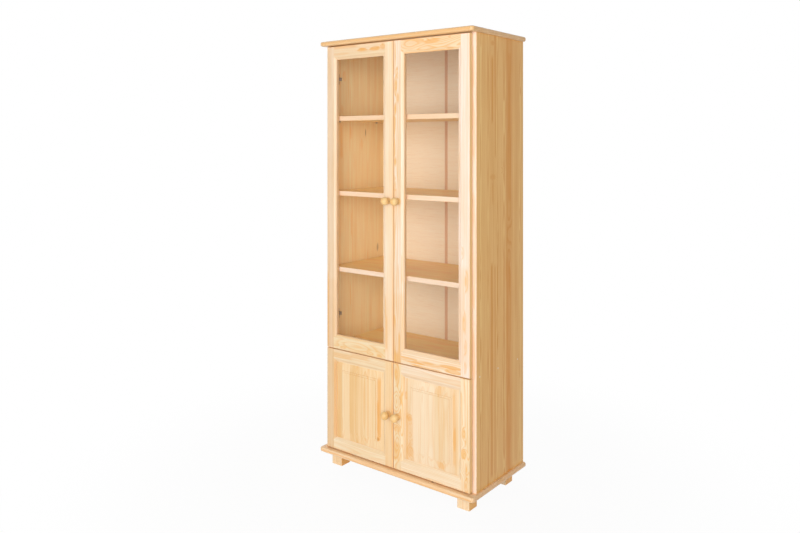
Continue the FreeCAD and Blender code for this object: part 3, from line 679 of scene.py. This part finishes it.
def bead_profile(front, back):
    """A bead's cross-section as (distance in from the outside, depth): one corner is rounded."""
    points = [(0.0, front), (BEAD_WIDTH, front)]
    for step in range(BEAD_STEPS + 1):
        angle = math.pi / 2 * step / BEAD_STEPS
        points.append((BEAD_WIDTH - BEAD_RADIUS * (1 - math.cos(angle)),
                       back - BEAD_RADIUS * (1 - math.sin(angle))))
    return points + [(0.0, back)]


def mitred_beads(name, lowest, highest, upright_finish, level_finish):
    """Four beads that fill the outline of a box from its lowest to its highest corner."""
    profile = bead_profile(lowest.y, highest.y)
    shape = bmesh.new()
    # sides and corners are counted round from the lower left, along the bottom first
    for side in range(4):
        level = side % 2 == 0
        ends = []
        for corner in (side, (side + 1) % 4):
            right = corner in (1, 2)
            upper = corner in (2, 3)
            ends.append([shape.verts.new((
                highest.x - inward if right else lowest.x + inward, depth,
                highest.z - inward if upper else lowest.z + inward)) for inward, depth in profile])
        along = 0 if level else 2
        for verts, sign in zip(ends, (1, -1) if side < 2 else (-1, 1)):
            for vert in verts:
                vert.co[along] += sign * MITRE_GAP
        one, two = ends
        faces = [shape.faces.new((one[i], one[i - 1], two[i - 1], two[i]))
                 for i in range(len(profile))]
        for face in faces + [shape.faces.new(one), shape.faces.new(two)]:
            face.material_index = 1 if level else 0
    return finished(shape, name, upright_finish, level_finish)


BEAD_CUTS = {"upright": dict(grain="Z", across="X", start=-400),
             "level": dict(grain="X", across="Z", start=500)}
GLASS = clear_glass()
for number, hand in enumerate(HANDS):
    dressed(f"upper_{hand}_glass", GLASS)
    node = f"upper_{hand}_glazing_beads"
    finishes = [pine(f"upper_{hand}_{lie}_bead_finish", width=60, face=-155, seed=74 + number,
                     body=(242, 206, 160), strength=0.3, **cut)
                for lie, cut in BEAD_CUTS.items()]
    mesh = mitred_beads(f"upper_{hand}_beads", *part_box(node), *finishes)
    placed(mesh, f"upper_{hand}_door", "door_pine", node)


# ------------------------------------ fielded panels
# Upright staves glued into one panel. Its edge is cut to two steps and a bevel, down to a tongue
# that lies loose in the grooves of the frame.

# painted shade: the panels' steps and edges take this dark rim colour, the shade in their steps
PANEL_STEP_SHADE = (198, 142, 80)
PANEL_WOOD = {
    "left": dict(
        width=45, start=-331, body=(238, 206, 156), tone=0.15, strength=0.4,
        shades={0: 0.3, 1: -0.4, 2: 0.35, 3: 0.05, 4: -0.3, 5: -0.3},
        # partly painted shade: the streaks at -306, -85 and -78 run along the side bevels, darker
        # and warmer on the slanted faces, as well as their cut grain
        streaks=((-306, 16, 120, 470, 0.25), (-139, 7, 170, 470, 0.4), (-78, 11, 175, 430, 0.9),
                 (-85, 6, 200, 330, 0.5)),
        flames=((176, -82, 9, 8, 0, 0.9),), knots=((176, -84, 6, 4, 0.35),)),
    "right": dict(
        width=35, start=30, body=(238, 211, 171), tone=0.1, strength=0.3,
        shades={2: -0.3, 3: -0.3, 4: -0.3, 5: 0.15, 6: 0.15, 7: 0.2},
        # partly painted shade: the streaks at 298, 82 and 66 run along the side bevels, darker and
        # warmer on the slanted faces, as well as their cut grain
        streaks=((298, 8, 165, 445, 0.6), (82, 24, 120, 310, 0.35), (66, 6, 120, 470, 0.4),
                 (228, 11, 425, 470, 0.5)),
        flames=((305, 80, 16, 18, 1, 0.5), (390, 60, 18, 10, 1, 0.5), (170, 82, 30, 20, 3, 0.4),
                (260, 80, 50, 18, 4, 0.1), (270, 300, 45, 7, 0, 0.5),
                (150, 236, 16, 20, 0, 0.6))),
}
for number, (hand, wood) in enumerate(PANEL_WOOD.items()):
    node = f"lower_{hand}_panel"
    finish = pine(node + "_finish", "Z", "X", face=-173, seed=80 + number, rim=PANEL_STEP_SHADE, **wood)
    machined(node, node + "_pine", finish, "panel_pine", edge=0.0005)


# ------------------------------------ knobs
# A ball on a short neck with a spreading foot, turned from one piece of pine and lacquered. A
# screw through the door's stile holds each one.

def turning(name, profile, around):
    """A mesh turned about Z: the profile is (height, radius), from the bottom up, in metres."""
    shape = bmesh.new()
    rings = []
    for height, radius in profile:
        if radius == 0:
            rings.append([shape.verts.new((0, 0, height))])
            continue
        angles = [2 * math.pi * step / around for step in range(around)]
        rings.append([shape.verts.new((radius * math.cos(angle), radius * math.sin(angle), height))
                      for angle in angles])
    for one, two in zip(rings, rings[1:]):
        for step in range(around):
            after = (step + 1) % around
            if len(one) == 1:
                shape.faces.new((one[0], two[after], two[step]))
            elif len(two) == 1:
                shape.faces.new((one[step], one[after], two[0]))
            else:
                shape.faces.new((one[step], one[after], two[after], two[step]))
    return finished(shape, name)


# metres, as the profiles of all turned pieces
BALL = 0.017
NECK = 0.0065
FOOT = 0.014
KNOB_REACH = 0.042
FOOT_BEVEL = 0.0006
FOOT_EDGE = (0.0018, FOOT - 0.0003)
FOOT_HEIGHT = 0.004
NECK_STEPS = 6
BALL_STEPS = 24


def knob_profile():
    """From the middle of the foot, round its edge, up the neck and over the ball."""
    edge_height, edge_radius = FOOT_EDGE
    points = [(0.0, 0.0), (0.0, FOOT - FOOT_BEVEL), (FOOT_BEVEL, FOOT), FOOT_EDGE]
    for step in range(1, NECK_STEPS + 1):
        share = step / NECK_STEPS
        points.append((edge_height + (FOOT_HEIGHT - edge_height) * share,
                       NECK + (edge_radius - NECK) * (1 - share) ** 1.8))
    first = math.pi - math.asin(NECK / BALL)
    for step in range(BALL_STEPS):
        angle = first * (1 - step / BALL_STEPS)
        points.append((KNOB_REACH - BALL + BALL * math.cos(angle), BALL * math.sin(angle)))
    return points + [(KNOB_REACH, 0)]


def middle(node, axis):
    """The middle of a CAD node along an axis, in millimetres."""
    return sum(span(node, axis)) / 2


KNOB_STAVE = 60
PITH_BELOW = 8
FORWARD = Matrix.Rotation(math.radians(90), 4, "X")
for number, door in enumerate(DOORS):
    node = f"{door}_knob"
    across = middle(node, "X")
    height = middle(node, "Z")
    mesh = turning(node + "_turning", knob_profile(), around=48)
    place = Vector((across, DOOR_FACE, height)) / MM_IN_METRE
    mesh.transform(Matrix.Translation(place) @ FORWARD)
    mesh.materials.append(pine(node + "_finish", "Y", "X", width=KNOB_STAVE,
                               start=across - KNOB_STAVE / 2, face=height - PITH_BELOW,
                               seed=91 + number, ring=3.2, body=(238, 205, 144)))
    placed(mesh, f"{door}_door", "turned_pine", node)


# ------------------------------------ hinges
# Concealed hinges, pressed from steel and nickel-plated, two to a door. An arm on its plate is
# screwed to the side, a cup is let into the door, and a link joins them.

def plated_steel(name, bright, dull, roughness):
    finish = Finish(name)
    cloud = finish.noise(finish.scaled(0.25, 0.25, 0.25), detail=4.0)
    return finish.surface(bump=cloud, bump_depth=0.00003, Metallic=1.0,
                          Base_Color=finish.mix(bright, dull, cloud.smooth(0.3, 0.7)),
                          Roughness=roughness + (cloud - 0.5) * 0.2)


NICKEL = plated_steel("nickel_plate_finish", colour(176, 170, 164), colour(132, 126, 122), 0.34)
machined("hinge_arms", "hinge_arm_pressings", NICKEL, "hinge_steel", edge=0.0004)
for door in DOORS:
    for part in ("cups", "links"):
        machined(f"{door}_hinge_{part}", f"{door}_{part}_pressings", NICKEL, "hinge_steel",
                 edge=0.0002, segments=1)


# ------------------------------------ screws of the hinges and knobs
# Zinc-plated steel, with a domed head and a cross recess. Two hold each hinge plate, two more set
# its arm, two hold each cup, and one goes through the stile into each knob.

RECESS_SIZES = ("Recess Height", "Recess Length", "Recess Width", "Recess Depth")


def repeat_maker(name, recessed):
    """A tree that sets a copy of one piece on every point, turned by chance about its own axis."""
    tree = bpy.data.node_groups.new(name, "GeometryNodeTree")
    sockets = {"Geometry": "NodeSocketGeometry", "Piece": "NodeSocketObject",
               "Finish": "NodeSocketMaterial", "Seed": "NodeSocketInt"}
    if recessed:
        sockets.update({size: "NodeSocketFloat" for size in RECESS_SIZES})
    for socket, kind in sockets.items():
        tree.interface.new_socket(socket, in_out="INPUT", socket_type=kind)
    tree.interface.new_socket("Geometry", in_out="OUTPUT", socket_type="NodeSocketGeometry")

    graph = Graph(tree)
    given = graph.node("NodeGroupInput")
    piece = graph.node("GeometryNodeObjectInfo", inputs={"Object": given.beside("Piece")},
                       output="Geometry")
    if recessed:
        height, length, width, depth = map(given.beside, RECESS_SIZES)
        top = graph.vector(0.0, 0.0, height)
        bars = []
        for x, y in ((length, width), (width, length)):
            size = graph.vector(x, y, depth * 2)
            bar = graph.node("GeometryNodeMeshCube", inputs={"Size": size})
            bars.append(graph.node("GeometryNodeTransform",
                                   inputs={"Geometry": bar, "Translation": top}))
        cross = graph.node("GeometryNodeMeshBoolean", {"operation": "UNION", "solver": "EXACT"},
                           {"Mesh 2": bars})
        piece = graph.node("GeometryNodeMeshBoolean",
                           {"operation": "DIFFERENCE", "solver": "EXACT"},
                           {"Mesh 1": piece, "Mesh 2": cross})
    heading = graph.node("GeometryNodeInputNamedAttribute", {"data_type": "FLOAT_VECTOR"},
                         {"Name": "heading"})
    heading = graph.node("FunctionNodeEulerToRotation", inputs={"Euler": heading})
    copies = graph.node("GeometryNodeInstanceOnPoints", inputs={
        "Points": given, "Instance": piece, "Rotation": heading})
    turn = graph.node("FunctionNodeRandomValue", {"data_type": "FLOAT"},
                      {2: 0.0, 3: 2 * math.pi, "Seed": given.beside("Seed")}, output=1)
    copies = graph.node("GeometryNodeRotateInstances", inputs={
        "Instances": copies, "Rotation": graph.vector(0.0, 0.0, turn)})
    copies = graph.node("GeometryNodeRealizeInstances", inputs={"Geometry": copies})
    copies = graph.node("GeometryNodeSetMaterial", inputs={
        "Geometry": copies, "Material": given.beside("Finish")})
    graph.node("NodeGroupOutput", inputs={"Geometry": copies})
    return tree


CHANCE_SEED = 5


def repeated(name, tree, profile, spots, finish, around=16, recess=()):
    """A mesh of turned pieces. Each spot is a place in millimetres and the way the head faces."""
    single = bpy.data.objects.new("single", turning("single", profile, around))
    points = bpy.data.meshes.new(name)
    points.from_pydata([Vector(place) / MM_IN_METRE for place, facing in spots], [], [])
    headings = points.attributes.new("heading", "FLOAT_VECTOR", "POINT")
    for item, (place, facing) in zip(headings.data, spots):
        item.vector = Vector(facing).to_track_quat("Z", "Y").to_euler()
    carrier = bpy.data.objects.new(name, points)
    bpy.context.scene.collection.objects.link(carrier)
    modifier = carrier.modifiers.new("repeat", "NODES")
    modifier.node_group = tree
    values = {"Piece": single, "Finish": finish, "Seed": CHANCE_SEED}
    values.update(zip(RECESS_SIZES, recess))
    for socket in tree.interface.items_tree:
        if socket.name in values:
            modifier[socket.identifier] = values[socket.name]
    mesh = bpy.data.meshes.new_from_object(
        carrier.evaluated_get(bpy.context.evaluated_depsgraph_get()))
    bpy.data.objects.remove(carrier)
    bpy.data.objects.remove(single)
    bpy.data.meshes.remove(points)
    mesh.name = name
    return mesh


DOME_STEPS = 6
DOME_START = 0.25


def screw_profile(head_radius, head_height, shank_radius, length):
    """Tip, shank, flat underside of the head and its dome, which ends above the surface."""
    points = [(-length, 0), (-length + shank_radius * 2, shank_radius), (0.0, shank_radius),
              (0.0, head_radius * 0.96), (head_height * DOME_START, head_radius)]
    for step in range(1, DOME_STEPS):
        angle = math.pi / 2 * step / DOME_STEPS
        rise = DOME_START + (1 - DOME_START) * math.sin(angle)
        points.append((head_height * rise, head_radius * math.cos(angle)))
    return points + [(head_height, 0)]


def screws(name, spots, head_radius, head_height, shank_radius, length, cross):
    """Screws of these sizes in metres. cross is the recess's length, breadth and depth."""
    profile = screw_profile(head_radius, head_height, shank_radius, length)
    return repeated(name, SCREW_MAKER, profile, spots, ZINC, recess=(head_height, *cross))


ZINC = plated_steel("zinc_plate_finish", colour(206, 204, 196), colour(166, 164, 158), 0.36)
SCREW_MAKER = repeat_maker("screw_maker", recessed=True)
BACKWARD = (0, 1, 0)

# millimetres, as all places
DOOR_BACK = -154
HINGE_HEIGHTS = {"upper": (654.5, 1704.0), "lower": (158.0, 434.5)}
PLATE_SURFACE = 366.0
PLATE_MIDDLE = -115
PLATE_SCREW_RISE = 16
ARM_SURFACE = 355.0
ARM_SCREW_DEPTHS = (-128, -106)
WING_SURFACE = -152.8
WING_SCREW_ASIDE = 343.5
WING_SCREW_RISE = 22
SIGNS = {"left": -1, "right": 1}
plate_screws = []
for sign in SIGNS.values():
    inward = (-sign, 0, 0)
    for height in HINGE_HEIGHTS["upper"] + HINGE_HEIGHTS["lower"]:
        for rise in (-PLATE_SCREW_RISE, PLATE_SCREW_RISE):
            plate_screws.append(((sign * PLATE_SURFACE, PLATE_MIDDLE, height + rise), inward))
        for depth in ARM_SCREW_DEPTHS:
            plate_screws.append(((sign * ARM_SURFACE, depth, height), inward))
mesh = screws("hinge_plate_screws", plate_screws, head_radius=0.0033, head_height=0.0012,
              shank_radius=0.0015, length=0.009, cross=(0.0036, 0.0008, 0.0008))
placed(mesh, "carcass", "zinc_steel")

for door in DOORS:
    level, hand = door.split("_")
    cup_screws = [((SIGNS[hand] * WING_SCREW_ASIDE, WING_SURFACE, height + rise), BACKWARD)
                  for height in HINGE_HEIGHTS[level]
                  for rise in (-WING_SCREW_RISE, WING_SCREW_RISE)]
    mesh = screws(f"{door}_cup_screws", cup_screws, head_radius=0.003, head_height=0.001,
                  shank_radius=0.0014, length=0.012, cross=(0.0034, 0.0008, 0.0007))
    placed(mesh, f"{door}_door", "zinc_steel")

    knob = f"{door}_knob"
    knob_spot = (middle(knob, "X"), DOOR_BACK, middle(knob, "Z"))
    mesh = screws(f"{door}_knob_fixing", [(knob_spot, BACKWARD)], head_radius=0.004,
                  head_height=0.0019, shank_radius=0.002, length=0.042,
                  cross=(0.0046, 0.001, 0.0011))
    placed(mesh, f"{door}_door", "zinc_steel", f"{door}_knob_screw")


# ------------------------------------ hidden screws and dowels
# Zinc-plated screws go down through the base board into the feet, and through the sides into the
# fixed shelf. Beech dowels, glued in, join the sides to the two boards.

def beech():
    finish = Finish("beech_finish")
    fleck = finish.noise(finish.scaled(1.6, 1.6, 0.2), detail=3.0)
    wood = finish.mix(colour(226, 186, 142), colour(196, 144, 98), fleck.smooth(0.4, 0.7))
    return finish.surface(bump=fleck, bump_depth=0.0001, Base_Color=wood,
                          Roughness=0.6 + (fleck - 0.5) * 0.2)


dressed("carcass_dowels", beech())
dressed("foot_screws", ZINC)
dressed("fixed_shelf_screws", ZINC)


# ------------------------------------ screw caps
# Small flat plugs of close-grained pale wood with a rounded edge, lacquered. Three are pressed
# into each side, over the screws of the fixed shelf.

def cap_wood():
    finish = Finish("cap_wood_finish")
    grain = finish.noise(finish.scaled(1.5, 1.5, 1.5))
    wood = finish.mix(colour(246, 222, 184), colour(238, 208, 166), grain)
    return finish.surface(bump=grain, bump_depth=0.00003, Base_Color=wood,
                          Roughness=0.4 + (grain - 0.5) * 0.1)


PLAIN_MAKER = repeat_maker("plain_maker", recessed=False)
CAP_PROFILE = [(-0.002, 0), (-0.002, 0.0036), (-0.0006, 0.0039), (-0.0003, 0.0036),
               (-0.0001, 0.0024), (0.0, 0)]
CAP_DEPTHS = (-128, 10, 170)
SIDE_SURFACE = 388
FIXED_SHELF_MIDDLE = 518
caps = [((sign * SIDE_SURFACE, depth, FIXED_SHELF_MIDDLE), (sign, 0, 0))
        for sign in SIGNS.values() for depth in CAP_DEPTHS]
mesh = repeated("screw_cap_plugs", PLAIN_MAKER, CAP_PROFILE, caps, cap_wood(), around=20)
placed(mesh, "carcass", "screw_cap", "screw_caps")


# ------------------------------------ shelf pins
# Plain zinc-plated steel pins with eased ends, pushed half their length into holes in the sides.
# Four carry each loose shelf.

PIN_PROFILE = [(-0.010, 0), (-0.010, 0.0022), (-0.0096, 0.0025), (0.0, 0.0025), (0.0095, 0.0025),
               (0.0099, 0.0022), (0.010, 0.0016), (0.010, 0)]
PIN_RADIUS = 2.5
PIN_DEPTHS = (-102, 158)
INNER_SURFACE = 368
LOOSE_SHELF_BOTTOMS = (853, 1187, 1516)
pins = [((sign * INNER_SURFACE, depth, bottom - PIN_RADIUS), (-sign, 0, 0))
        for sign in SIGNS.values() for depth in PIN_DEPTHS for bottom in LOOSE_SHELF_BOTTOMS]
mesh = repeated("shelf_pin_turnings", PLAIN_MAKER, PIN_PROFILE, pins, ZINC, around=20)
placed(mesh, "carcass", "zinc_steel", "shelf_pins")


# ------------------------------------ nails of the back
# Thin flat-headed steel nails, driven through the back. They run up both sides, in the rebates,
# and along the fixed shelf's rear edge.

NAIL_PROFILE = [(-0.018, 0), (-0.0165, 0.0008), (-0.0006, 0.0008), (0.0, 0.0016), (0.0005, 0.0016),
                (0.0008, 0.0012), (0.0008, 0)]
BACK_SURFACE = 216.5
NAIL_COLUMN = 373
LOWEST_NAIL = 110
NAIL_PITCH = 212.5
NAILS_IN_COLUMN = 9
SHELF_NAILS = (55, 185, 315)
nails = [((sign * NAIL_COLUMN, BACK_SURFACE, LOWEST_NAIL + NAIL_PITCH * step), BACKWARD)
         for sign in SIGNS.values() for step in range(NAILS_IN_COLUMN)]
nails += [((sign * across, BACK_SURFACE, FIXED_SHELF_MIDDLE), BACKWARD)
          for sign in SIGNS.values() for across in SHELF_NAILS]
mesh = repeated("back_nail_heads", PLAIN_MAKER, NAIL_PROFILE, nails, ZINC, around=12)
placed(mesh, "carcass", "zinc_steel", "back_nails")


# ------------------------------------ floor, light and camera
# Not part of the bookcase: a pale floor that keeps its shadow, a white surround, two large soft
# lamps in front and one behind, and a level camera.

def seen_directly(graph):
    """1 for what the camera sees directly, in a mirror or through glass, and 0 for other light."""
    path = graph.node("ShaderNodeLightPath", output="Is Camera Ray")
    seen = path.math("MAXIMUM", path.beside("Is Glossy Ray"))
    return seen.math("MAXIMUM", path.beside("Is Transmission Ray"))


FLOOR_PAINT = (0.86, 0.86, 0.86, 1.0)
SHADOW_SHARE = 0.05
SHADOW_REACH = (600, 1700)


def pale_floor():
    """White as seen, apart from a share near the bookcase that takes its shadow."""
    finish = Finish("pale_floor")
    point = finish.point()
    distance = (point["X"] * point["X"] + point["Y"] * point["Y"]).math("SQRT")
    own_light = 1 - SHADOW_SHARE + distance.smooth(*SHADOW_REACH) * SHADOW_SHARE
    share = seen_directly(finish) * own_light
    matt = finish.node("ShaderNodeBsdfDiffuse", inputs={"Color": FLOOR_PAINT})
    white = finish.node("ShaderNodeEmission", inputs={"Color": WHITE, "Strength": 1.0})
    return finish.out(finish.node("ShaderNodeMixShader", inputs={0: share, 1: matt, 2: white}))


HALF_FLOOR = 30.0
floor_corners = [(x * HALF_FLOOR, y * HALF_FLOOR, 0)
                 for x, y in ((-1, -1), (1, -1), (1, 1), (-1, 1))]
floor_mesh = bpy.data.meshes.new("floor")
floor_mesh.from_pydata(floor_corners, [], [(0, 1, 2, 3)])
floor_mesh.materials.append(pale_floor())
floor = bpy.data.objects.new("floor", floor_mesh)
bpy.context.scene.collection.objects.link(floor)


def pale_room():
    """A white surround as seen, and a softer one as light."""
    world = bpy.data.worlds.new("pale_room")
    world.use_nodes = True
    graph = Graph(world.node_tree)
    lit = graph.node("ShaderNodeBackground", inputs={"Color": WHITE, "Strength": 0.25})
    shown = graph.node("ShaderNodeBackground", inputs={"Color": WHITE, "Strength": 1.0})
    both = graph.node("ShaderNodeMixShader", inputs={0: seen_directly(graph), 1: lit, 2: shown})
    graph.node("ShaderNodeOutputWorld", inputs={"Surface": both})
    return world


bpy.context.scene.world = pale_room()


MIDDLE_OF_BOOKCASE = Vector((0, 0, 0.9))


def lamp(name, place, size, power, mirrored=True):
    """A large soft lamp at a place, turned to the middle of the bookcase."""
    light = bpy.data.lights.new(name, "AREA")
    light.shape = "SQUARE"
    light.size = size
    light.energy = power
    lamp_object = bpy.data.objects.new(name, light)
    lamp_object.location = place
    towards = MIDDLE_OF_BOOKCASE - Vector(place)
    lamp_object.rotation_euler = towards.to_track_quat("-Z", "Y").to_euler()
    lamp_object.visible_glossy = mirrored
    bpy.context.scene.collection.objects.link(lamp_object)


lamp("right_lamp", (3.2, -4.5, 1.9), size=3.4, power=152)
lamp("front_lamp", (0.2, -5.4, 1.8), size=3.0, power=105)
lamp("back_lamp", (-3.6, 2.8, 2.2), size=2.4, power=100, mirrored=False)

bpy.context.scene.view_settings.view_transform = "Standard"

PICTURE_WIDTH = 800
PICTURE_HEIGHT = 533
LENS_PIXELS = 749.0
HORIZON_ROW = 141.8
SENSOR = 36.0
CAMERA_PLACE = (1.9133, -2.5976, 1.4236)
CAMERA_TURN = 37.78
camera = bpy.data.cameras.new("camera")
camera.sensor_width = SENSOR
camera.lens = SENSOR * LENS_PIXELS / PICTURE_WIDTH
camera.shift_y = (HORIZON_ROW - PICTURE_HEIGHT / 2) / PICTURE_WIDTH
camera_object = bpy.data.objects.new("camera", camera)
camera_object.location = CAMERA_PLACE
camera_object.rotation_euler = (math.radians(90), 0, math.radians(CAMERA_TURN))
bpy.context.scene.collection.objects.link(camera_object)
bpy.context.scene.camera = camera_object
